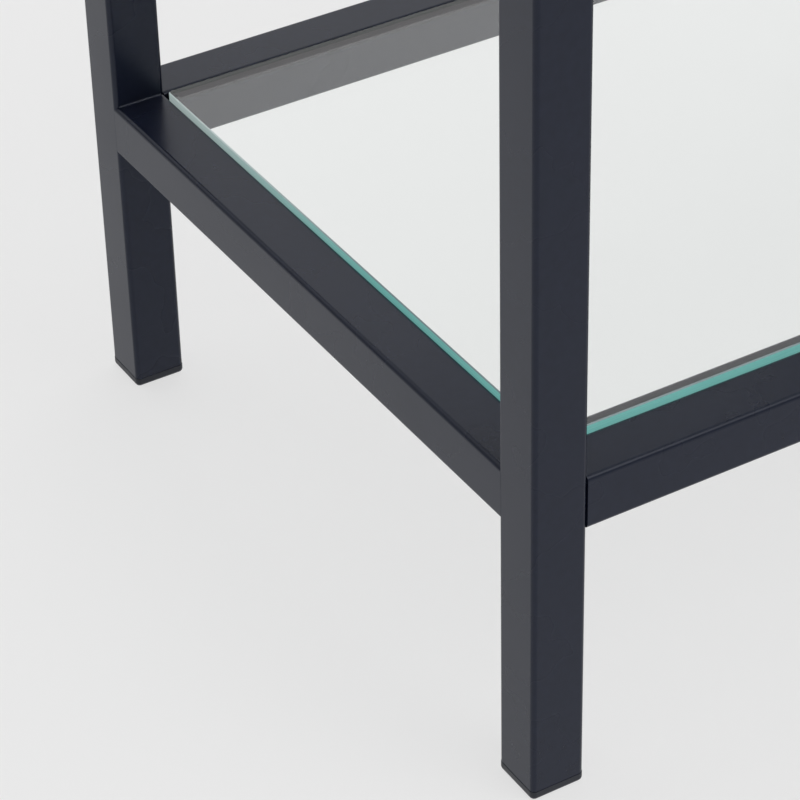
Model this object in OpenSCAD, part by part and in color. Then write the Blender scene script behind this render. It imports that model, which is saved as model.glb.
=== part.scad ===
// Nest of two tables in square steel tube with lift-in glass panels.
// The small table has a glass shelf. It slides on its feet under the large one.
// The small table stands drawn out in front (-Y), the large one behind it (+Y).
// Origin: on the floor, at the centre of the whole nest. X is the width, Z is up.

/* [Steel tube] */
// Side of the square tube that every leg and rail is cut from
tube = 25; // [22:1:32]
// Wall thickness of the tube
tube_wall = 1.5; // [1.2:0.1:2]
// Outside corner radius of the tube
tube_r = 2.25; // [1.6:0.05:3]

/* [Small table] */
// Width over the legs, along X
small_w = 370; // [300:5:450]
// Depth over the legs, along Y
small_d = 460; // [380:5:560]
// Height of the glass top above the floor
small_h = 500; // [400:5:600]
// Height of the shelf rails' upper face above the floor
shelf_h = 155; // [110:5:240]

/* [Nesting] */
// Clearance between the small table's side and the large table's legs
side_gap = 10; // [5:1:20]
// Clearance between the small glass top and the large table's top rails
over_gap = 22.5; // [8:0.5:40]
// Clearance left behind the small table when it is pushed home
stop_gap = 5; // [2:1:15]
// Distance between the two tables when the small one is drawn out
rest_gap = 20; // [10:5:80]

/* [Glass] */
// Thickness of each glass panel
glass_t = 5; // [4:0.5:8]
// Height that a panel stands above its rails
glass_proud = 2.25; // [1:0.25:3.5]
// Gap all round between a centred panel and its rails
glass_gap = 2; // [1:0.25:3]
// Share of that gap by which the loose shelf panel lies off to the right
shelf_lie_x = 0.35; // [-0.9:0.05:0.9]
// Share of that gap by which the loose shelf panel lies off to the back
shelf_lie_y = -0.9; // [-0.9:0.05:0.9]
// Radius of a panel's corners, seen from above
glass_corner_r = 2; // [1:0.5:4]
// Ground bevel on a panel's edges
glass_arris = 0.5; // [0.3:0.1:0.8]

/* [Glass support] */
// Width of the flat-sided tube welded inside each side rail as a ledge
ledge_w = 10; // [8:1:14]
// Height of the ledge tube
ledge_h = 20; // [15:1:22]
// Wall thickness of the ledge tube
ledge_wall = 1.5; // [1:0.1:2]
// Outside corner radius of the ledge tube
ledge_r = 1.5; // [1.2:0.1:2.5]
// Distance that the ledge tube stops short of the legs
ledge_end_gap = 1; // [0.5:0.5:20]
// Width of the foam strip between the ledge and the glass
strip_w = 6; // [4:0.5:7]
// Thickness of the foam strip
strip_t = 0.5; // [0.3:0.1:2]
// Distance that the foam strip stops short of the ledge's ends
strip_end_gap = 3; // [2:1:20]

/* [Knock-down joints] */
// Length of the stub that each side rail slides over
stub_len = 32; // [24:1:45]
// Wall thickness of the stub
stub_wall = 2; // [1.5:0.25:3]
// Clearance between a stub and the inside of its rail
stub_gap = 0.3; // [0.1:0.05:0.5]
// Distance from a leg's face to the screw's axis
screw_at = 18; // [14:1:22]
// Diameter of the screw's thread
screw_d = 6; // [5:0.5:6]
// Diameter of the clearance hole for the screw
screw_hole_d = 6.6; // [6.4:0.1:7]
// Diameter of the screw's round head
screw_head_d = 10.5; // [9:0.5:12]
// Height of the screw's round head
screw_head_h = 3.3; // [2.5:0.1:4]
// Width across flats of the hexagon socket
screw_socket = 4; // [3:0.5:4]
// Side of the square weld nut
nut_w = 10; // [9:0.5:12]
// Height of the square weld nut
nut_h = 5; // [4:0.5:6]

/* [Feet] */
// Height of the cap that shows under a leg
foot_h = 4.5; // [3:0.5:8]
// Distance that the cap stands out past the leg all round
foot_proud = 0.15; // [0:0.05:1]
// Radius of the cap's lower edges
foot_r = 2.2; // [1:0.1:2.5]
// Length of the plug inside the leg
foot_plug = 14; // [8:1:25]
// Wall thickness of the hollow plug
foot_plug_wall = 2; // [1.5:0.25:3]
// Clearance between the plug and the inside of the leg
foot_gap = 0.15; // [0.05:0.05:0.4]

/* [Hidden] */
$fn = 64;
eps = 0.01;

// Share of the tube's corner radius that the ground weld fills at a welded joint
weld_fill = 0.8;
// Running clearance of a screw's thread in its nut, on the radius
thread_gap = 0.05;

bore = tube - 2 * tube_wall;
bore_r = max(tube_r - tube_wall, 0.4);
stub = bore - 2 * stub_gap;
stub_bore = stub - 2 * stub_wall;

large_w = small_w + 2 * (side_gap + tube);
large_d = small_d + stop_gap + tube;
large_h = small_h + over_gap + tube + glass_proud;

nest_d = small_d + rest_gap + large_d;
small_y = -nest_d / 2 + small_d / 2;
large_y = nest_d / 2 - large_d / 2;

// A table is its width, depth, glass height and the Y of its centre.
small = [small_w, small_d, small_h, small_y];
large = [large_w, large_d, large_h, large_y];
function half_w(t) = t[0] / 2;
function half_d(t) = t[1] / 2;
function frame_h(t) = t[2] - glass_proud;
function mid_y(t) = t[3];
function side_rail_len(t) = t[1] - 2 * tube;
function end_rail_len(t) = t[0] - 2 * tube;
function ledge_len(t) = side_rail_len(t) - 2 * ledge_end_gap;

steel = "#3b3e45";
clear_glass = [0.62, 0.82, 0.77, 0.4];
black_plastic = "#1d1e20";
zinc = "#a9adb3";
black_foam = "#26272a";

// ---- Shared shapes ----

// Rectangle w by d with corners of radius r, centred
module round_rect(w, d, r) {
  square([w, d - 2 * r], center = true);
  square([w - 2 * r, d], center = true);
  for (x = [-1, 1], y = [-1, 1]) translate([x * (w / 2 - r), y * (d / 2 - r)]) circle(r);
}

// Square of side s with corners of radius r, centred
module round_square(s, r) {
  round_rect(s, s, r);
}

// Solid bar of the tube's outline, standing on Z = 0
module tube_outline(h) {
  linear_extrude(h) round_square(tube, tube_r);
}

// Turns a bar that stands along Z so that it lies along X, centred
module along_x(len) {
  translate([-len / 2, 0, 0]) rotate([90, 0, 90]) children();
}

// Turns a bar that stands along Z so that it lies along Y, centred
module along_y(len) {
  translate([0, len / 2, 0]) rotate([90, 0, 0]) children();
}

// Puts a child at one corner post of table t: sx and sy are -1 or 1
module at_post(t, sx, sy) {
  translate([sx * (half_w(t) - tube / 2), mid_y(t) + sy * (half_d(t) - tube / 2), 0]) children();
}

// ---- Steel frame ----

// Leg: tube with its top end closed by a welded plate, ground flush
module leg(t, sx, sy) {
  color(steel) at_post(t, sx, sy) difference() {
    translate([0, 0, foot_h]) tube_outline(frame_h(t) - foot_h);
    translate([0, 0, foot_h - 1]) linear_extrude(frame_h(t) - tube_wall - foot_h + 1)
      round_square(bore, bore_r);
  }
}

// Rail of an end frame, welded between two legs. Its ends wrap the legs'
// rounded edges, as a weld does that is ground flush with both faces.
module end_rail(t, sy, top) {
  weld_reach = weld_fill * tube_r;
  len = end_rail_len(t);
  color(steel) translate([0, mid_y(t) + sy * (half_d(t) - tube / 2), top - tube / 2]) difference() {
    along_x(len + 2 * weld_reach) tube_outline(len + 2 * weld_reach);
    along_x(len) linear_extrude(len) round_square(bore, bore_r);
    for (sx = [-1, 1]) translate([sx * (half_w(t) - tube / 2), 0, -tube]) tube_outline(2 * tube);
  }
}

// Places a child at each screw of one side rail, at the rail's lower face
module at_screws(t, sx, top) {
  for (sy = [-1, 1])
    translate([sx * (half_w(t) - tube / 2), mid_y(t) + sy * (side_rail_len(t) / 2 - screw_at), top - tube])
      children();
}

// Rail that slides over two stubs, with a screw hole near each end
module side_rail(t, sx, top) {
  len = side_rail_len(t);
  color(steel) difference() {
    translate([sx * (half_w(t) - tube / 2), mid_y(t), top - tube / 2]) difference() {
      along_y(len) tube_outline(len);
      along_y(len + 2) linear_extrude(len + 2) round_square(bore, bore_r);
    }
    at_screws(t, sx, top) translate([0, 0, -1]) cylinder(d = screw_hole_d, h = tube_wall + 2);
  }
}

// Tubes inside the two side rails at one level, which carry a glass panel
module ledges(t, top) {
  z = top + glass_proud - glass_t - strip_t - ledge_h / 2;
  len = ledge_len(t);
  color(steel) for (sx = [-1, 1])
    translate([sx * (half_w(t) - tube - ledge_w / 2), mid_y(t), z]) difference() {
      along_y(len) linear_extrude(len) round_rect(ledge_w, ledge_h, ledge_r);
      along_y(len + 2) linear_extrude(len + 2)
        round_rect(ledge_w - 2 * ledge_wall, ledge_h - 2 * ledge_wall, max(ledge_r - ledge_wall, 0.4));
    }
}

// Stubs welded to the legs, one at each end of a side rail
module stubs(t, tops) {
  color(steel) for (top = tops, sx = [-1, 1]) difference() {
    translate([sx * (half_w(t) - tube / 2), mid_y(t), top - tube / 2]) for (sy = [-1, 1])
      translate([0, sy * (side_rail_len(t) - stub_len) / 2, 0]) difference() {
        cube([stub, stub_len, stub], center = true);
        cube([stub_bore, stub_len + 2, stub_bore], center = true);
      }
    at_screws(t, sx, top) translate([0, 0, -1]) cylinder(d = screw_hole_d, h = tube_wall + stub_wall + 2);
  }
}

// Square nuts welded on the floor of the stubs
module weld_nuts(t, tops) {
  color(zinc) for (top = tops, sx = [-1, 1]) at_screws(t, sx, top)
    translate([0, 0, tube_wall + stub_gap + stub_wall]) difference() {
      translate([-nut_w / 2, -nut_w / 2, 0]) cube([nut_w, nut_w, nut_h]);
      translate([0, 0, -1]) cylinder(r = screw_d / 2 + thread_gap, h = nut_h + 2);
    }
}

// Round-head socket screws, driven up from below
module rail_screws(t, tops) {
  shank = tube_wall + stub_gap + stub_wall + nut_h;
  socket_depth = 0.6 * screw_head_h;
  color(zinc) for (top = tops, sx = [-1, 1]) at_screws(t, sx, top) difference() {
    union() {
      cylinder(d = screw_d, h = shank);
      button_head();
    }
    translate([0, 0, -screw_head_h - eps])
      cylinder(r = screw_socket / sqrt(3), h = socket_depth, $fn = 6);
  }
}

// Low dome of a screw head, hanging below Z = 0
module button_head() {
  flat = 0.62 * screw_head_d;
  rotate_extrude() polygon(concat(
    [[0, 0], [screw_head_d / 2, 0]],
    [for (a = [0:15:75]) [
      flat / 2 + (screw_head_d - flat) / 2 * cos(a),
      -0.15 * screw_head_h - 0.85 * screw_head_h * sin(a)]],
    [[flat / 2, -screw_head_h], [0, -screw_head_h]]
  ));
}

// ---- Glass ----

// Panel with round corners and ground edges, lying inside its rails.
// lie is how far it lies off centre to the right and to the back.
module glass_panel(t, top, lie = [0, 0]) {
  w = end_rail_len(t) - 2 * glass_gap;
  d = side_rail_len(t) - 2 * glass_gap;
  color(clear_glass) translate([lie[0], mid_y(t) + lie[1], top + glass_proud - glass_t / 2]) intersection() {
    translate([0, 0, -glass_t / 2]) linear_extrude(glass_t) round_rect(w, d, glass_corner_r);
    along_y(d + 2) linear_extrude(d + 2) bevelled_section(w, glass_t);
    along_x(w + 2) linear_extrude(w + 2) bevelled_section(d, glass_t);
  }
}

// Cross-section of a panel with its four long edges bevelled
module bevelled_section(w, h) {
  c = glass_arris;
  polygon([for (s = [[1, 1], [-1, 1], [-1, -1], [1, -1]], k = [0, 1])
    let (first = s[0] * s[1] > 0 ? k == 0 : k == 1)
    first ? [s[0] * w / 2, s[1] * (h / 2 - c)] : [s[0] * (w / 2 - c), s[1] * h / 2]]);
}

// Foam strips between the ledges and a panel
module strips(t, top) {
  z = top + glass_proud - glass_t - strip_t;
  color(black_foam) for (sx = [-1, 1])
    translate([sx * (half_w(t) - tube - glass_gap - strip_w / 2), mid_y(t), z + strip_t / 2])
      cube([strip_w, ledge_len(t) - 2 * strip_end_gap, strip_t], center = true);
}

// ---- Feet ----

// Moulded caps: a head under the leg and a hollow plug inside it
module foot_caps(t) {
  head = tube + 2 * foot_proud;
  plug = bore - 2 * foot_gap;
  color(black_plastic) for (sx = [-1, 1], sy = [-1, 1]) at_post(t, sx, sy) {
    foot_head(head);
    translate([0, 0, foot_h - eps]) linear_extrude(foot_plug + eps) difference() {
      round_square(plug, bore_r);
      square(plug - 2 * foot_plug_wall, center = true);
    }
  }
}

// Head of a cap, with its upright and lower edges rounded
module foot_head(head) {
  tall = 2 * foot_h + 4 * foot_r;
  intersection() {
    linear_extrude(foot_h) round_square(head, tube_r + foot_proud);
    along_x(head) linear_extrude(head) head_section(head, tall);
    along_y(head) linear_extrude(head) head_section(head, tall);
  }
}

// Upright rectangle standing on Y = 0 with its two lower corners rounded
module head_section(w, h) {
  translate([-w / 2, foot_r]) square([w, h]);
  translate([-w / 2 + foot_r, 0]) square([w - 2 * foot_r, h]);
  for (x = [-1, 1]) translate([x * (w / 2 - foot_r), foot_r]) circle(foot_r);
}

// ---- Nodes ----

shelf_lie = [shelf_lie_x, shelf_lie_y] * glass_gap;
small_tops = [frame_h(small), shelf_h];
large_tops = [frame_h(large), shelf_h];

leg(small, -1, -1);  // small_leg_front_left
leg(small, 1, -1);  // small_leg_front_right
leg(small, -1, 1);  // small_leg_rear_left
leg(small, 1, 1);  // small_leg_rear_right
end_rail(small, -1, frame_h(small));  // small_top_rail_front
end_rail(small, 1, frame_h(small));  // small_top_rail_rear
end_rail(small, -1, shelf_h);  // small_shelf_rail_front
end_rail(small, 1, shelf_h);  // small_shelf_rail_rear
side_rail(small, -1, frame_h(small));  // small_top_rail_left
side_rail(small, 1, frame_h(small));  // small_top_rail_right
side_rail(small, -1, shelf_h);  // small_shelf_rail_left
side_rail(small, 1, shelf_h);  // small_shelf_rail_right
ledges(small, frame_h(small));  // small_top_ledges
ledges(small, shelf_h);  // small_shelf_ledges
stubs(small, small_tops);  // small_rail_stubs
weld_nuts(small, small_tops);  // small_weld_nuts
rail_screws(small, small_tops);  // small_rail_screws
glass_panel(small, frame_h(small));  // small_glass_top
glass_panel(small, shelf_h, shelf_lie);  // small_glass_shelf
strips(small, frame_h(small));  // small_top_strips
strips(small, shelf_h);  // small_shelf_strips
foot_caps(small);  // small_foot_caps
leg(large, -1, -1);  // large_leg_front_left
leg(large, 1, -1);  // large_leg_front_right
leg(large, -1, 1);  // large_leg_rear_left
leg(large, 1, 1);  // large_leg_rear_right
end_rail(large, -1, frame_h(large));  // large_top_rail_front
end_rail(large, 1, frame_h(large));  // large_top_rail_rear
end_rail(large, 1, shelf_h);  // large_low_rail_rear
side_rail(large, -1, frame_h(large));  // large_top_rail_left
side_rail(large, 1, frame_h(large));  // large_top_rail_right
side_rail(large, -1, shelf_h);  // large_low_rail_left
side_rail(large, 1, shelf_h);  // large_low_rail_right
ledges(large, frame_h(large));  // large_top_ledges
stubs(large, large_tops);  // large_rail_stubs
weld_nuts(large, large_tops);  // large_weld_nuts
rail_screws(large, large_tops);  // large_rail_screws
glass_panel(large, frame_h(large));  // large_glass_top
strips(large, frame_h(large));  // large_top_strips
foot_caps(large);  // large_foot_caps
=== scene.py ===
# %% [markdown]
# # A nest of two side tables
# Two tables in black powder-coated square tube, with clear glass panels that lie inside the
# rails. The small one has a glass shelf and slides under the large one. The CAD model holds
# every size, place and joint. This script gives the pieces their finished surfaces: rounded
# tube, ground welds, bevelled glass, moulded feet, and finishes made of shader nodes.
# Everything is in metres, with +Z up.

# %% Load the CAD model as the frame
import math

import bpy
from mathutils import Matrix, Vector


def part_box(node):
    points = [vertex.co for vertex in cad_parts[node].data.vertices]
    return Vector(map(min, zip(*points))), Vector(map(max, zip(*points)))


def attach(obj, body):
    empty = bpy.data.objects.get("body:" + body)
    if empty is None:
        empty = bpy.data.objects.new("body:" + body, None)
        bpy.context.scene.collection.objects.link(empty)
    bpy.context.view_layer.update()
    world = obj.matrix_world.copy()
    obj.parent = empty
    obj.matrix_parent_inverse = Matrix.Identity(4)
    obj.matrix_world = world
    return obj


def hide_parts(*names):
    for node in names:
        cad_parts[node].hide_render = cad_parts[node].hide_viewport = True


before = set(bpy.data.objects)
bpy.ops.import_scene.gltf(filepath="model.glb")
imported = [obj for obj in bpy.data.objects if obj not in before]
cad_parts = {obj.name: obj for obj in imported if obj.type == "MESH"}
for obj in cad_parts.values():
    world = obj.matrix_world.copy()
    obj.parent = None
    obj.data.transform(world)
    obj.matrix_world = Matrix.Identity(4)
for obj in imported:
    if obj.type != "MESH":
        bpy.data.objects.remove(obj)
for name in ("Cube", "Light", "Camera"):
    if name in bpy.data.objects:
        bpy.data.objects.remove(bpy.data.objects[name])

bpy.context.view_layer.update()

# %% [markdown]
# ## Sizes
# The frame gives the place and the outer size of every piece. What a box can't tell is named
# where it is first needed. The corner radius and the wall of the tube, and the small break
# that every real edge has, are shared by many pieces and stand here. A broken edge is what
# catches the light, so even the sharp ones get one.

# %% Sizes that many pieces share
MM = 0.001
TUBE_R = 2.25 * MM
TUBE_WALL = 1.5 * MM
EDGE_BREAK = 0.3 * MM

leg_low, leg_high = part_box("small_leg_front_left")
TUBE = (leg_high - leg_low).x
print("tube:", round(TUBE / MM, 2), "mm square")

# %% [markdown]
# ## Helpers for modelling
# An operator works on whatever is selected, so each step first clears the selection and then
# picks edges or faces by where they are or which way they face. These helpers do that, and
# they keep each object at the origin with its place in its mesh.


# %% Add and select
def nothing_selected():
    """Leaves edit mode and deselects every object."""
    if bpy.context.object and bpy.context.object.mode != "OBJECT":
        bpy.ops.object.mode_set(mode="OBJECT")
    bpy.ops.object.select_all(action="DESELECT")


def only(piece):
    """Selects piece alone and makes it the active object."""
    nothing_selected()
    piece.select_set(True)
    bpy.context.view_layer.objects.active = piece


def made_here(name):
    """Names the object that an operator just added, and puts its place in its mesh."""
    piece = bpy.context.object
    piece.name = piece.data.name = name
    bpy.ops.object.transform_apply(location=True, rotation=True, scale=True)
    return piece


def block(name, low, high):
    """A cube stretched between two corners."""
    nothing_selected()
    bpy.ops.mesh.primitive_cube_add(size=1, location=(low + high) / 2, scale=high - low)
    return made_here(name)


def pick(piece, kind, wanted):
    """Opens piece in edit mode with only its wanted edges or faces selected."""
    only(piece)
    bpy.ops.object.mode_set(mode="EDIT")
    bpy.ops.mesh.select_mode(type=kind)
    bpy.ops.mesh.select_all(action="DESELECT")
    bpy.ops.object.mode_set(mode="OBJECT")
    points = piece.data.vertices
    if kind == "EDGE":
        for edge in piece.data.edges:
            edge.select = wanted(*(points[i].co for i in edge.vertices))
    else:
        for face in piece.data.polygons:
            face.select = wanted(face.center, face.normal)
    bpy.ops.object.mode_set(mode="EDIT")


# %% [markdown]
# ## Helpers for finishing a mesh
# A modifier is added and applied at once, so that what it made can be picked and shaped again.
# A cut leaves points on top of each other, which are merged. What repeats is modelled once and
# copied: a copy costs one call, and it is exactly like the first.

# %% Apply, clean, smooth, copy and join
SAME_POINT = 0.01 * MM


def apply_modifier(piece, kind, **settings):
    """Adds one modifier to piece and applies it."""
    only(piece)
    modifier = piece.modifiers.new(kind.lower(), kind)
    for key, value in settings.items():
        setattr(modifier, key, value)
    bpy.ops.object.modifier_apply(modifier=modifier.name)


def cleaned(piece):
    """Merges the points that a cut or a bevel left on top of each other, and drops flat slivers."""
    pick(piece, "FACE", lambda centre, normal: True)
    bpy.ops.mesh.remove_doubles(threshold=SAME_POINT)
    bpy.ops.mesh.dissolve_degenerate(threshold=SAME_POINT)
    nothing_selected()
    return piece


def smooth(piece, angle=40):
    """Rounds shade smoothly and flats stay flat: the big faces decide the normals."""
    only(piece)
    bpy.ops.object.shade_smooth_by_angle(angle=math.radians(angle))
    apply_modifier(piece, "WEIGHTED_NORMAL", keep_sharp=True)
    return piece


def copied(piece, name, shift):
    """A copy of piece with its own mesh, moved by shift."""
    only(piece)
    bpy.ops.object.duplicate_move(TRANSFORM_OT_translate={"value": shift})
    return made_here(name)


def joined(name, pieces):
    """Joins several objects into one."""
    only(pieces[0])
    for piece in pieces:
        piece.select_set(True)
    if len(pieces) > 1:
        bpy.ops.object.join()
    whole = bpy.context.object
    whole.name = whole.data.name = name
    return whole


# %% [markdown]
# ## Helpers for finishes
# Colours are written as the sRGB hex values that a person would pick on a screen, and turned
# into Blender's linear values in one place. One function adds a shader node, sets it and links
# it, so that a material reads from top to bottom. A noise node's value lies mostly between 0.3
# and 0.7, so that span is what gets stretched onto a range of roughness.

# %% Nodes and colours
NOISE_SPAN = {"From Min": 0.3, "From Max": 0.7}


def linear(hex_colour):
    """An sRGB hex colour as the linear RGBA that a socket takes."""
    parts = [int(hex_colour[i:i + 2], 16) / 255 for i in (1, 3, 5)]
    return [v / 12.92 if v <= 0.04045 else ((v + 0.055) / 1.055) ** 2.4 for v in parts] + [1.0]


def add_node(tree, kind, inputs=None, **settings):
    """Adds a node. An input gets a value, a certain output, or another node's first output."""
    made = tree.nodes.new("ShaderNode" + kind)
    for key, value in settings.items():
        setattr(made, key, value)
    for key, value in (inputs or {}).items():
        source = value.outputs[0] if isinstance(value, bpy.types.Node) else value
        if isinstance(source, bpy.types.NodeSocket):
            tree.links.new(source, made.inputs[key])
        else:
            made.inputs[key].default_value = source
    return made


def new_material(name):
    """An empty material, its node tree, and its Object coordinates, which are in metres."""
    material = bpy.data.materials.new(name)
    material.use_nodes = True
    tree = material.node_tree
    tree.nodes.clear()
    return material, tree, add_node(tree, "TexCoord").outputs["Object"]


print("middle grey in linear light:", [round(v, 3) for v in linear("#808080")])

# %% [markdown]
# ## Powder-coated steel
# The tube is sprayed with dry paint powder and baked, which flows into a skin about 0.08 mm
# thick. It keeps a very shallow orange peel, lumps 2 or 3 mm across with a finer grain on
# top, and it is satin: it mirrors a leg as a soft dark patch. The colour is a blue-black.
# A picture of paint could give this too, but noise has no seams, and its lumps are set in
# real millimetres. Two noises make the bump. A third mottles the colour, and a fourth, much
# wider, varies the gloss as handling does.


# %% Powder coat
def powder_coat():
    material, tree, place = new_material("satin_black_powder_coated_steel")
    handling = add_node(tree, "TexNoise", {"Vector": place, "Scale": 1 / (60 * MM), "Detail": 3.0})
    mottle = add_node(tree, "TexNoise", {"Vector": place, "Scale": 1 / (4 * MM), "Detail": 2.0})
    peel = add_node(tree, "TexNoise", {"Vector": place, "Scale": 1 / (2.6 * MM), "Detail": 1.0})
    fine = add_node(tree, "TexNoise", {"Vector": place, "Scale": 1 / (0.7 * MM), "Detail": 2.0})
    colour = add_node(tree, "Mix", {
        "Factor": mottle, "A": linear("#131827"), "B": linear("#1b2031")}, data_type="RGBA")
    gloss = add_node(tree, "MapRange", {
        "Value": handling, **NOISE_SPAN, "To Min": 0.24, "To Max": 0.31})
    lumps = add_node(tree, "Bump", {"Height": peel, "Strength": 0.4, "Distance": 0.02 * MM})
    skin = add_node(tree, "Bump", {
        "Height": fine, "Strength": 0.4, "Distance": 0.015 * MM, "Normal": lumps})
    shader = add_node(tree, "BsdfPrincipled", {
        "Base Color": colour.outputs[2],
        "Roughness": gloss,
        "IOR": 1.37,
        "Specular Tint": (0.86, 0.9, 1.0, 1.0),
        "Normal": skin})
    add_node(tree, "OutputMaterial", {"Surface": shader})
    return material


COATED = powder_coat()
print("made", COATED.name)

# %% [markdown]
# ## Clear glass
# The panels are 5 mm tempered float glass. Its faces are smooth and clear, with a trace of
# haze where it was wiped. Real glass takes its green from its depth. Here the faces stay
# almost white and the edges carry the green, so that the panel needs no absorption.


# %% Clear glass
def clear_glass():
    material, tree, place = new_material("clear_tempered_float_glass")
    wiped = add_node(tree, "TexNoise", {"Vector": place, "Scale": 1 / (90 * MM), "Detail": 2.0})
    haze = add_node(tree, "MapRange", {"Value": wiped, **NOISE_SPAN, "To Min": 0.0, "To Max": 0.02})
    shader = add_node(tree, "BsdfPrincipled", {
        "Base Color": linear("#fcfefd"),
        "Roughness": haze,
        "IOR": 1.52,
        "Transmission Weight": 1.0})
    add_node(tree, "OutputMaterial", {"Surface": shader})
    return material


GLASS = clear_glass()
print("made", GLASS.name)

# %% [markdown]
# ## Glass edges
# The edges are ground and only half polished. Light that has crossed the whole panel leaves
# there, so they glow a sea green, with fine grinding lines that run along the edge. To trace
# that light through the glass takes very many samples. A green surface with a weak emission
# of its own colour looks the same and stays clean. The green turns paler towards the left,
# where the light of the bank on that side comes in.

# %% Ground edges
GRINDING = (30, 30, 2500)  # grains per metre: lines 33 mm long and 0.4 mm apart
PALE_BEFORE = -160 * MM
GREEN_AFTER = 40 * MM


def ground_edge(name, dark, light, pale, glow):
    """A ground edge between two greens, pale at its left. glow is the light that it lets out."""
    material, tree, place = new_material(name)
    stretched = add_node(tree, "Mapping", {"Vector": place, "Scale": GRINDING}, vector_type="POINT")
    lines = add_node(tree, "TexNoise", {"Vector": stretched, "Scale": 1.0, "Detail": 2.0})
    cloud = add_node(tree, "TexNoise", {"Vector": place, "Scale": 1 / (25 * MM), "Detail": 2.0})
    green = add_node(tree, "Mix", {
        "Factor": cloud, "A": linear(dark), "B": linear(light)}, data_type="RGBA")
    along = add_node(tree, "SeparateXYZ", {"Vector": place}).outputs["X"]
    left = add_node(tree, "MapRange", {
        "Value": along, "From Min": PALE_BEFORE, "From Max": GREEN_AFTER, "To Min": 1.0, "To Max": 0.0},
        interpolation_type="SMOOTHSTEP")
    colour = add_node(tree, "Mix", {
        "Factor": left, "A": green.outputs[2], "B": linear(pale)}, data_type="RGBA").outputs[2]
    half_polish = add_node(tree, "MapRange", {
        "Value": lines, **NOISE_SPAN, "To Min": 0.2, "To Max": 0.32})
    bump = add_node(tree, "Bump", {"Height": lines, "Strength": 0.2, "Distance": 0.02 * MM})
    shader = add_node(tree, "BsdfPrincipled", {
        "Base Color": colour,
        "Roughness": half_polish,
        "IOR": 1.52,
        "Emission Color": colour,
        "Emission Strength": glow,
        "Normal": bump})
    add_node(tree, "OutputMaterial", {"Surface": shader})
    return material


GLASS_EDGE = ground_edge("ground_glass_edge_lit", "#619a95", "#6ba6a0", "#9aa8a6", 0.8)
SHADED_EDGE = ground_edge("ground_glass_edge_in_shade", "#142b27", "#18322d", "#142825", 0.1)
# The bevel's paler grey-green and its glow are a painted highlight of the polished arris.
BEVEL_PAINTED_HIGHLIGHT = ground_edge("polished_glass_bevel", "#5a6b6d", "#627476", "#a6b2b1", 0.8)
print("made", GLASS_EDGE.name, SHADED_EDGE.name, BEVEL_PAINTED_HIGHLIGHT.name)

# %% [markdown]
# ## Polyethylene
# The foot caps are injection-moulded polyethylene. The steel mould is eroded by sparks, and
# its fine pits are copied onto the plastic as a dull, even texture 0.5 mm across.


# %% Moulded polyethylene
def moulded_polyethylene():
    material, tree, place = new_material("moulded_black_polyethylene")
    spark = add_node(tree, "TexNoise", {"Vector": place, "Scale": 1 / (0.5 * MM), "Detail": 3.0})
    flow = add_node(tree, "TexNoise", {"Vector": place, "Scale": 1 / (8 * MM), "Detail": 1.0})
    dull = add_node(tree, "MapRange", {"Value": flow, **NOISE_SPAN, "To Min": 0.38, "To Max": 0.48})
    bump = add_node(tree, "Bump", {"Height": spark, "Strength": 0.5, "Distance": 0.03 * MM})
    shader = add_node(tree, "BsdfPrincipled", {
        "Base Color": linear("#1b1f2a"),
        "Roughness": dull,
        "IOR": 1.42,
        "Normal": bump})
    add_node(tree, "OutputMaterial", {"Surface": shader})
    return material


POLYETHYLENE = moulded_polyethylene()
print("made", POLYETHYLENE.name)

# %% [markdown]
# ## Foam and zinc
# The strip under the glass is closed-cell foam tape, which shows small round cells, so its
# bump is a cell pattern and not noise. The screws and nuts are zinc plated: a dull metal with
# a faint cloudiness, which a fine noise gives to both the colour and the gloss.


# %% Closed-cell foam
def closed_cell_foam():
    material, tree, place = new_material("closed_cell_foam_tape")
    cells = add_node(tree, "TexVoronoi", {"Vector": place, "Scale": 1 / (0.6 * MM)})
    matt = add_node(tree, "MapRange", {"Value": cells, **NOISE_SPAN, "To Min": 0.7, "To Max": 0.9})
    bump = add_node(tree, "Bump", {"Height": cells, "Strength": 0.6, "Distance": 0.1 * MM})
    shader = add_node(tree, "BsdfPrincipled", {
        "Base Color": linear("#5a565c"),
        "Roughness": matt,
        "Normal": bump})
    add_node(tree, "OutputMaterial", {"Surface": shader})
    return material


FOAM = closed_cell_foam()
print("made", FOAM.name)


# %% Zinc plate
def zinc_plate():
    material, tree, place = new_material("bright_zinc_plate")
    cloud = add_node(tree, "TexNoise", {"Vector": place, "Scale": 1 / (1.5 * MM), "Detail": 3.0})
    colour = add_node(tree, "Mix", {
        "Factor": cloud, "A": linear("#b9bdc2"), "B": linear("#d2d4d6")}, data_type="RGBA")
    dull = add_node(tree, "MapRange", {"Value": cloud, **NOISE_SPAN, "To Min": 0.25, "To Max": 0.42})
    shader = add_node(tree, "BsdfPrincipled", {
        "Base Color": colour.outputs[2],
        "Metallic": 1.0,
        "Roughness": dull})
    add_node(tree, "OutputMaterial", {"Surface": shader})
    return material


ZINC = zinc_plate()
print("made", ZINC.name)

# %% [markdown]
# ## Finish a piece
# Each piece gets its material, the CAD body that it moves with, and the CAD node that it
# stands for. Legs, rails, ledges and panels repeat, so the first of each kind is modelled
# and the others are copies in their own places.

# %% Finish, ride and replace
BODY = {"small": "small_table", "large": "large_table"}


def stand_for(node, piece, material):
    """Gives piece its finish and puts it in the place of a CAD node."""
    if not piece.data.materials:
        piece.data.materials.append(material)
    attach(piece, BODY[node.split("_")[0]])
    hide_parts(node)
    return piece


def in_places(nodes, make, ending, material):
    """Models a piece for the first node, copies it to the other nodes, and finishes them all."""
    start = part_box(nodes[0])[0]
    first = make(nodes[0], nodes[0] + ending)
    others = [copied(first, node + ending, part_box(node)[0] - start) for node in nodes[1:]]
    for node, piece in zip(nodes, [first] + others):
        stand_for(node, piece, material)
    print(first.name, "and", len(others), "copies")


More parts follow.
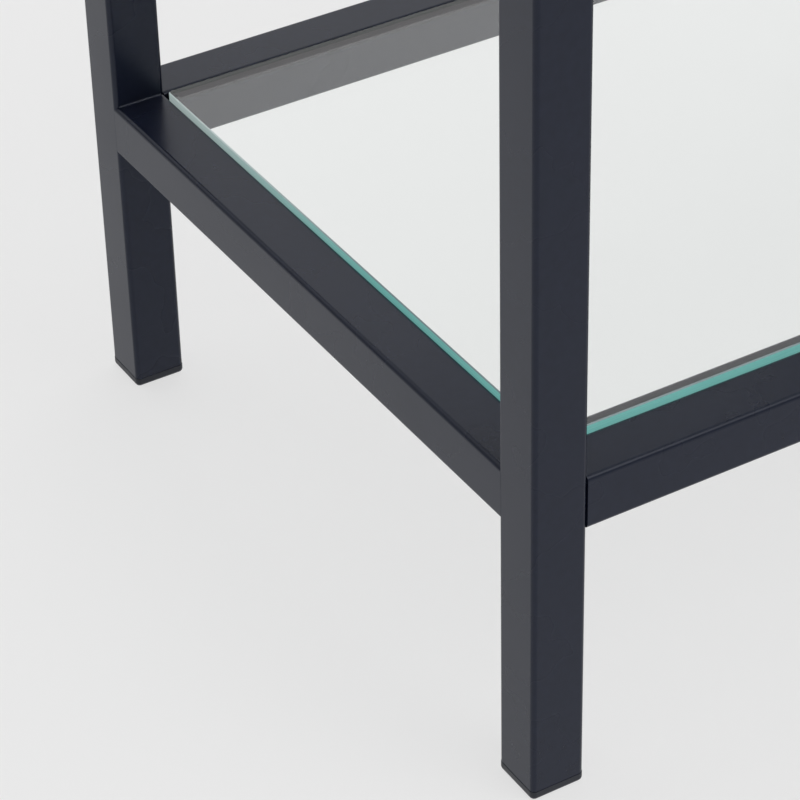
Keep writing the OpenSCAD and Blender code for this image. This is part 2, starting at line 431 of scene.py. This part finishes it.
def nodes_with(*words):
    """The CAD nodes whose names hold all of these words."""
    return [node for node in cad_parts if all(word in node for word in words)]


# %% [markdown]
# ## Tube
# Square tube is strip steel, folded and seam-welded, so its corners are round inside and out.
# Two nested blocks and a cut would do, but a cut leaves long thin faces. Here a cube is
# stretched to the piece's box, its four long edges are bevelled round, and the bore is made
# from its end faces. The legs are closed at the top, and the rails are open.

# %% Tube pieces
LONG_EDGE_STEPS = 7


def tube_bar(name, low, high, radius=TUBE_R):
    """A solid bar with a tube's outline between two corners. Returns it and its long axis."""
    size = high - low
    axis = max(range(3), key=lambda i: size[i])
    bar = block(name, low, high)
    pick(bar, "EDGE", lambda a, b: abs(a[axis] - b[axis]) > size[axis] / 2)
    bpy.ops.mesh.bevel(offset=radius, segments=LONG_EDGE_STEPS, profile=0.5, affect="EDGES")
    nothing_selected()
    return bar, axis


def bore_through(bar, axis, wall=TUBE_WALL):
    """Opens a bar into a tube: both end faces are inset and bridged."""
    pick(bar, "FACE", lambda centre, normal: abs(normal[axis]) > 0.99)
    bpy.ops.mesh.inset(thickness=wall)
    bpy.ops.mesh.bridge_edge_loops()
    nothing_selected()


# %% [markdown]
# ## Legs
# A leg is closed at the top by a plate that is welded in and ground flush, so plate and tube
# are one skin, and the bore is pushed up from the foot. Its top edges are broken, except the
# one that the end rail is welded to.


# %% Legs
def leg(node, name):
    """A leg: closed and broken-edged at the top, hollow from below."""
    low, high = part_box(node)
    bar = tube_bar(name, low, high)[0]
    inner_side = (high if (low + high).x < 0 else low).x

    def top_edge(a, b):
        at_top = min(a.z, b.z) > high.z - EDGE_BREAK
        at_rail = min(abs(a.x - inner_side), abs(b.x - inner_side)) < TUBE_R / 2
        return at_top and not at_rail

    pick(bar, "FACE", lambda centre, normal: normal.z < -0.99)
    bpy.ops.mesh.inset(thickness=TUBE_WALL)
    bpy.ops.mesh.extrude_region_move(
        TRANSFORM_OT_translate={"value": (0, 0, (high - low).z - TUBE_WALL)})
    pick(bar, "EDGE", top_edge)
    bpy.ops.mesh.bevel(offset=EDGE_BREAK, segments=2, affect="EDGES")
    nothing_selected()
    return smooth(cleaned(bar))


for table in BODY:
    for side in ("left", "right"):
        in_places(nodes_with(table, "_leg_", side), leg, "_tube", COATED)

# %% [markdown]
# ## Side rails
# A side rail is a plain length of tube, sawn square and pushed over two stubs. Its ends meet
# the legs' rounded edges, and the small groove between them is the dark seam that tells a
# screwed joint from a welded one. The sawn edge is only deburred. A hole is drilled up
# through the lower wall for each screw, with one cutter for both.

# %% Side rails
SCREW_AT = 18 * MM
SCREW_HOLE = 6.6 * MM


def drilled(rail, low, high):
    """Drills the two screw holes with one cutter, which is then thrown away."""
    middle = (low + high).x / 2
    nothing_selected()
    bpy.ops.mesh.primitive_cylinder_add(
        vertices=32, radius=SCREW_HOLE / 2, depth=4 * TUBE_WALL,
        location=(middle, low.y + SCREW_AT, low.z))
    near = made_here("drill")
    far = copied(near, "drill", Vector((0, (high - low).y - 2 * SCREW_AT, 0)))
    drill = joined("drill", [near, far])
    apply_modifier(rail, "BOOLEAN", operation="DIFFERENCE", solver="EXACT", object=drill)
    bpy.data.objects.remove(drill)


def side_rail(node, name):
    """A side rail: an open tube with two screw holes in its lower wall."""
    low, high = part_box(node)
    rail, axis = tube_bar(name, low, high)
    bore_through(rail, axis)
    drilled(rail, low, high)
    return smooth(rail)


for table in BODY:
    rails = nodes_with(table, "_rail_left") + nodes_with(table, "_rail_right")
    in_places(rails, side_rail, "_tube", COATED)

# %% [markdown]
# ## Fillet welds
# The front and back rails are welded between their legs, and the welds on the flat faces are
# ground flush, so no line is left there. The inside corners can't be ground: a thin concave
# fillet stays. It is a small block in the corner, whose open edge is bevelled with a hollow
# profile, and it sinks a little into both skins so that no gap shows.

# %% Fillet welds
WELD = 0.8 * MM
WELD_SINK = 0.15 * MM
HOLLOW = 0.13


def fillet(corner, away_x, away_z, length):
    """A concave weld along Y in an inside corner. away_x and away_z point into the open."""
    low, high = Vector(corner), Vector(corner)
    low.y, high.y = corner.y - length / 2, corner.y + length / 2
    for i, away in ((0, away_x), (2, away_z)):
        low[i], high[i] = sorted((corner[i] - away * WELD_SINK, corner[i] + away * WELD))
    bead = block("fillet", low, high)
    open_x, open_z = corner.x + away_x * WELD, corner.z + away_z * WELD
    pick(bead, "EDGE", lambda a, b: all(
        abs(p.x - open_x) < WELD_SINK and abs(p.z - open_z) < WELD_SINK for p in (a, b)))
    bpy.ops.mesh.bevel(offset=0.97 * WELD, segments=6, profile=HOLLOW, affect="EDGES")
    nothing_selected()
    return bead


# %% [markdown]
# ## End rails
# The bar is as long as the CAD node, which reaches into the legs' rounded edges. The legs'
# outline is cut out of its ends, so that its skin wraps those edges as ground weld metal
# does. A top rail has fillets below only, because above it is flush with the legs' tops.

# %% End rails
WELD_FILL = 0.8 * TUBE_R
FLAT_OF_TUBE = TUBE - 1.6 * TUBE_R


def leg_outline(x, y, z):
    """A bar with the outline of the leg at x and y, which cuts a rail's end to fit it."""
    half = Vector((TUBE / 2, TUBE / 2, TUBE))
    centre = Vector((x, y, z))
    return tube_bar("leg_outline", centre - half, centre + half)[0]


def end_rail(node, name):
    """An end rail, cut to its two legs, with its fillets."""
    low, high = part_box(node)
    centre = (low + high) / 2
    inner_x = (high - low).x / 2 - WELD_FILL
    leg_x = inner_x + TUBE / 2
    rail, axis = tube_bar(name, low, high)
    bore_through(rail, axis)
    left = leg_outline(-leg_x, centre.y, centre.z)
    right = copied(left, "leg_outline", Vector((2 * leg_x, 0, 0)))
    legs = joined("legs", [left, right])
    apply_modifier(rail, "BOOLEAN", operation="DIFFERENCE", solver="EXACT", object=legs)
    bpy.data.objects.remove(legs)
    cleaned(rail)
    faces = [(low.z, -1)] if "_top_" in node else [(low.z, -1), (high.z, 1)]
    beads = [fillet(Vector((side * inner_x, centre.y, z)), -side, up, FLAT_OF_TUBE)
             for side in (-1, 1) for z, up in faces]
    return smooth(joined(name, [rail] + beads))


for level in ("small_top", "small_shelf", "large_top", "large_low"):
    rails = nodes_with(level + "_rail_front") + nodes_with(level + "_rail_rear")
    in_places(rails, end_rail, "_tube", COATED)

# %% [markdown]
# ## Several solids in one node
# Ledges, strips, foot caps and screws share a CAD node for each table or level. A copy of the
# node is separated into its loose parts, only to read where each one is. Its mesh is loose
# triangles, so its doubles are merged first.

# %% Solids of a node
LOOSE_GAP = 0.001 * MM


def solid_boxes(node):
    """The box of each separate solid in a CAD node, as (low, high) pairs."""
    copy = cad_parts[node].copy()
    copy.data = copy.data.copy()
    bpy.context.collection.objects.link(copy)
    copy.parent = None
    pick(copy, "FACE", lambda centre, normal: True)
    bpy.ops.mesh.remove_doubles(threshold=LOOSE_GAP)
    bpy.ops.mesh.separate(type="LOOSE")
    bpy.ops.object.mode_set(mode="OBJECT")
    boxes = []
    for part in list(bpy.context.selected_objects):
        points = [v.co for v in part.data.vertices]
        boxes.append(tuple(
            Vector([end(p[i] for p in points) for i in range(3)]) for end in (min, max)))
        bpy.data.objects.remove(part)
    return sorted(boxes, key=lambda box: tuple(box[0]))


def in_each_solid(node, pattern, home):
    """Copies a pattern, which was modelled at home, into each solid of a node."""
    return [copied(pattern, pattern.name, low - home) for low, high in solid_boxes(node)]


print("small screws:", len(solid_boxes("small_rail_screws")))

# %% [markdown]
# ## Ledge tubes that carry the glass
# A second, smaller tube is welded inside each side rail, just under the glass. It is held by
# a few short stitch welds along its lower edge, because a full weld would warp the rail. Each
# stitch is one rippled bead: a short cylinder with bevelled rims, repeated by an array.

# %% Stitch weld
STITCH_LENGTH = 22 * MM
BEAD_R = 1.6 * MM
RIPPLE = 1.8 * MM
RIPPLE_STEP = 0.9 * RIPPLE


def stitch():
    """A rippled weld bead along Y, with its middle at the origin."""
    nothing_selected()
    bpy.ops.mesh.primitive_cylinder_add(
        vertices=16, radius=BEAD_R, depth=RIPPLE, location=(0, -STITCH_LENGTH / 2, 0),
        rotation=(math.pi / 2, 0, 0))
    bead = made_here("stitch")
    pick(bead, "EDGE", lambda a, b: abs(a.y - b.y) < RIPPLE / 4)
    bpy.ops.mesh.bevel(offset=0.3 * RIPPLE, segments=2, affect="EDGES")
    nothing_selected()
    apply_modifier(bead, "ARRAY", fit_type="FIT_LENGTH", fit_length=STITCH_LENGTH,
                   use_relative_offset=False, use_constant_offset=True,
                   constant_offset_displace=(0, RIPPLE_STEP, 0))
    return bead


STITCH = stitch()
print("stitch:", round(STITCH.dimensions.y / MM, 1), "mm long")

# %% Ledge tubes
LEDGE_R = 1.5 * MM
LEDGE_WALL = 1.3 * MM
STITCHES = 4


def ledge_tubes(node, name):
    """The two ledges of a level, each stitched along its outer lower edge."""
    boxes = solid_boxes(node)
    home, far_corner = boxes[0]
    bar, axis = tube_bar("ledge", home, far_corner, LEDGE_R)
    bore_through(bar, axis, LEDGE_WALL)
    made = [bar] + [copied(bar, "ledge", low - home) for low, high in boxes[1:]]
    for low, high in boxes:
        outer = low.x if low.x < 0 else high.x
        step = (high - low).y / STITCHES
        made += [copied(STITCH, "stitch", Vector((outer, low.y + (i + 0.5) * step, low.z)))
                 for i in range(STITCHES)]
    return smooth(joined(name, made))


for table in BODY:
    in_places(nodes_with(table, "_ledges"), ledge_tubes, "_welded", COATED)
bpy.data.objects.remove(STITCH)

# %% [markdown]
# ## Foam strips
# A strip of self-adhesive foam lies on each ledge. The glass presses it, so its sides swell
# a little between the two faces. A bevel with a full round gives that.

# %% Foam strips
SWELL = 0.4


def foam_strips(node, name):
    """The two strips of a level."""
    boxes = solid_boxes(node)
    home, far_corner = boxes[0]
    strip = block("strip", home, far_corner)
    pick(strip, "EDGE", lambda a, b: abs(a.z - b.z) < EDGE_BREAK)
    bpy.ops.mesh.bevel(offset=SWELL * (far_corner - home).z, segments=3, affect="EDGES")
    nothing_selected()
    made = [strip] + [copied(strip, "strip", low - home) for low, high in boxes[1:]]
    return smooth(joined(name, made))


for table in BODY:
    in_places(nodes_with(table, "_strips"), foam_strips, "_foam", FOAM)

# %% [markdown]
# ## Glass panels
# A panel is a block with slightly rounded corners and a ground bevel, the arris, on every
# edge, so that it can't cut. The flat faces get the clear glass, the bevels a paler
# grey-green that glows as a painted highlight, and the sides the green edge finish. The left
# side has a darker one. It is mostly seen through the panel, and little light turns back that way.

# %% Glass panels
CORNER_R = 2 * MM
ARRIS = 0.5 * MM
PANEL_FINISHES = (GLASS, BEVEL_PAINTED_HIGHLIGHT, GLASS_EDGE, SHADED_EDGE)


def panel_slot(normal):
    """The place in PANEL_FINISHES of the finish for a face."""
    if abs(normal.z) > 0.99:
        return 0
    if normal.x < -0.5:
        return 3
    return 1 if abs(normal.z) > 0.3 else 2


def panel(node, name):
    """A glass panel with rounded corners and broken edges."""
    low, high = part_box(node)
    pane = block(name, low, high)
    pick(pane, "EDGE", lambda a, b: abs(a.z - b.z) > ARRIS)
    bpy.ops.mesh.bevel(offset=CORNER_R, segments=6, affect="EDGES")
    pick(pane, "EDGE", lambda a, b: abs(a.z - b.z) < ARRIS)
    bpy.ops.mesh.bevel(offset=ARRIS, offset_type="OFFSET", segments=1, affect="EDGES")
    nothing_selected()
    for finish in PANEL_FINISHES:
        pane.data.materials.append(finish)
    for face in pane.data.polygons:
        face.material_index = panel_slot(face.normal)
    return smooth(pane, angle=30)


for table in BODY:
    in_places(nodes_with(table, "_glass_"), panel, "_pane", GLASS)

# %% [markdown]
# ## Foot caps
# A foot is a moulded cap: a head a little wider than the tube, with well-rounded lower edges,
# and a hollow plug that grips inside the leg. The head is a block, bevelled in two steps, and
# the plug is extruded from its upper face, so that the cap is one closed skin.

# %% One foot cap
CAP_HEAD = 4.5 * MM
CAP_PROUD = 0.15 * MM
CAP_ROUND = 2.2 * MM
PLUG_GAP = 0.15 * MM
PLUG_WALL = 2 * MM


def foot_cap(low, high):
    """One cap between two corners: its head at the bottom, its plug above."""
    top = Vector((high.x, high.y, low.z + CAP_HEAD))
    cap = block("cap", low, top)
    pick(cap, "EDGE", lambda a, b: abs(a.z - b.z) > CAP_HEAD / 2)
    bpy.ops.mesh.bevel(offset=TUBE_R + CAP_PROUD, segments=6, affect="EDGES")
    pick(cap, "EDGE", lambda a, b: max(a.z, b.z) < low.z + CAP_HEAD / 2)
    bpy.ops.mesh.bevel(offset=CAP_ROUND, segments=6, affect="EDGES")
    pick(cap, "FACE", lambda centre, normal: normal.z > 0.99)
    bpy.ops.mesh.inset(thickness=CAP_PROUD + TUBE_WALL + PLUG_GAP)
    bpy.ops.mesh.extrude_region_move(TRANSFORM_OT_translate={"value": (0, 0, high.z - top.z)})
    bpy.ops.mesh.inset(thickness=PLUG_WALL)
    bpy.ops.mesh.extrude_region_move(TRANSFORM_OT_translate={"value": (0, 0, top.z - high.z)})
    nothing_selected()
    return cap


# %% All foot caps
cap_home, cap_end = solid_boxes("small_foot_caps")[0]
cap = foot_cap(cap_home, cap_end)
for node in nodes_with("_foot_caps"):
    caps = in_each_solid(node, cap, cap_home)
    print(node, len(caps))
    stand_for(node, smooth(joined(node + "_moulded", caps)), POLYETHYLENE)
bpy.data.objects.remove(cap)

# %% [markdown]
# ## Screws
# The M6 screws have a low round head with a hexagon socket. The head's dome is a short
# cylinder whose lower rim is bevelled round, and the socket is pressed in from its lower
# face. The thread is inside the nut, where no eye reaches, so the shank is plain.

# %% One screw
HEAD_R = 5.25 * MM
HEAD_H = 3.3 * MM
SHANK_R = 3 * MM
SOCKET = 4 * MM


def screw(low, high):
    """One screw, head down, between two corners."""
    x, y = ((low + high) / 2).xy
    nothing_selected()
    bpy.ops.mesh.primitive_cylinder_add(
        vertices=48, radius=HEAD_R, depth=HEAD_H, location=(x, y, low.z + HEAD_H / 2))
    head = made_here("screw")
    pick(head, "EDGE", lambda a, b: max(a.z, b.z) < low.z + HEAD_H / 4)
    bpy.ops.mesh.bevel(offset=0.8 * HEAD_H, segments=7, affect="EDGES")
    pick(head, "FACE", lambda centre, normal: normal.z > 0.99)
    bpy.ops.mesh.inset(thickness=HEAD_R - SHANK_R)
    bpy.ops.mesh.extrude_region_move(
        TRANSFORM_OT_translate={"value": (0, 0, (high - low).z - HEAD_H)})
    nothing_selected()
    bpy.ops.mesh.primitive_cylinder_add(
        vertices=6, radius=SOCKET / math.sqrt(3), depth=HEAD_H, location=(x, y, low.z))
    key = made_here("key")
    apply_modifier(head, "BOOLEAN", operation="DIFFERENCE", solver="EXACT", object=key)
    bpy.data.objects.remove(key)
    return head


# %% All screws
screw_home, screw_end = solid_boxes("small_rail_screws")[0]
pattern = screw(screw_home, screw_end)
for node in nodes_with("_rail_screws"):
    screws = in_each_solid(node, pattern, screw_home)
    print(node, len(screws))
    stand_for(node, smooth(joined(node + "_turned", screws), angle=35), ZINC)
bpy.data.objects.remove(pattern)

# %% [markdown]
# ## Pieces that stay as they are
# The stubs and the weld nuts are inside the rails, and their CAD shape is already right. They
# keep it, and only get a finish.

# %% Finish the CAD nodes that stay
for ending, material in (("_rail_stubs", COATED), ("_weld_nuts", ZINC)):
    for node in nodes_with(ending):
        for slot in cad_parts[node].material_slots:
            slot.material = material
        print(node, "is now", material.name)

# %% [markdown]
# ## Floor
# The tables stand on a light table: a white sheet lit from below. A plain white floor would
# do, but the legs would throw shadows on it. Most of this sheet's light is its own, so they
# throw almost none.

# %% Floor
FLOOR_SIZE = 12

nothing_selected()
bpy.ops.mesh.primitive_plane_add(size=FLOOR_SIZE, location=(0, 0, 0))
floor = made_here("floor")
sheet, tree, place = new_material("back_lit_white_acrylic_sheet")
tone = add_node(tree, "TexNoise", {"Vector": place, "Scale": 1 / (400 * MM), "Detail": 1.0})
matt = add_node(tree, "MapRange", {"Value": tone, **NOISE_SPAN, "To Min": 0.75, "To Max": 0.85})
shader = add_node(tree, "BsdfPrincipled", {
    "Base Color": linear("#7a7a7a"),
    "Roughness": matt,
    "Specular IOR Level": 0.2,
    "Emission Color": linear("#ffffff"),
    "Emission Strength": 0.66})
add_node(tree, "OutputMaterial", {"Surface": shader})
floor.data.materials.append(sheet)
print("floor:", FLOOR_SIZE, "m")

# %% [markdown]
# ## Light
# A wide soft bank stands behind on the left and a smaller, stronger one on the right, with
# dim walls between them. That is what draws a dark line along some rounded edges and a bright
# one along others. The banks are painted on the world and not built as lamps, because glossy
# tube mirrors them whole. Each is a round patch with a soft rim: how far a direction is from
# the bank's middle decides how bright it is. The camera sees a plain pale backdrop instead.

# %% Studio light
BANKS = (
    {"towards": (-0.55, 0.45, 0.70), "reach": 60, "edge": 12, "light": 0.64},
    {"towards": (0.60, 0.30, 0.74), "reach": 15, "edge": 8, "light": 2.6},
)
WALLS = 0.36
BACKDROP = "#e6e6e6"

world = bpy.data.worlds.new("studio")
bpy.context.scene.world = world
world.use_nodes = True
sky = world.node_tree
sky.nodes.clear()
towards = add_node(sky, "TexCoord").outputs["Generated"]
level = WALLS
for bank in BANKS:
    middle = Vector(bank["towards"]).normalized()
    near = add_node(sky, "VectorMath", {0: towards, 1: middle}, operation="DOT_PRODUCT")
    lit = add_node(sky, "MapRange", {
        "Value": near.outputs["Value"],
        "From Min": math.cos(math.radians(bank["reach"] + bank["edge"])),
        "From Max": math.cos(math.radians(bank["reach"] - bank["edge"])),
        "To Min": 0.0, "To Max": bank["light"]}, interpolation_type="SMOOTHSTEP")
    level = add_node(sky, "Math", {0: lit, 1: level}, operation="ADD")
studio = add_node(sky, "Background", {"Color": level, "Strength": 1.0})
plain = add_node(sky, "Background", {"Color": linear(BACKDROP), "Strength": 1.0})
seen = add_node(sky, "LightPath").outputs["Is Camera Ray"]
shown = add_node(sky, "MixShader", {0: seen, 1: studio, 2: plain})
add_node(sky, "OutputWorld", {"Surface": shown})
print("light banks:", len(BANKS))

# %% [markdown]
# ## Camera
# The camera looks down at the near corner of the small table's shelf, through a long lens
# from 1.33 m away. It is placed by two angles around its aim and then rolled slightly, which
# is easier to read than a position.

# %% Camera
AZIMUTH, ELEVATION, ROLL = 59.53, 35.74, -1.42
DISTANCE = 1.3288
LENS = 151.07
SENSOR = 36
INWARD = Vector((57.9 * MM, 9.0 * MM, 0))

near_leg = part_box("small_leg_front_right")[0]
shelf_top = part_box("small_shelf_rail_front")[1].z
aim = Vector((near_leg.x, near_leg.y, shelf_top)) - INWARD
turn = (Matrix.Rotation(math.radians(AZIMUTH), 4, "Z")
        @ Matrix.Rotation(math.radians(90 - ELEVATION), 4, "X")
        @ Matrix.Rotation(math.radians(ROLL), 4, "Z"))
lens = bpy.data.cameras.new("camera")
lens.lens = LENS
lens.sensor_width = SENSOR
camera = bpy.data.objects.new("camera", lens)
bpy.context.scene.collection.objects.link(camera)
camera.matrix_world = Matrix.Translation(aim + turn @ Vector((0, 0, DISTANCE))) @ turn
bpy.context.scene.camera = camera
bpy.context.scene.view_settings.view_transform = "Standard"
print("camera at", [round(v, 3) for v in camera.matrix_world.translation])
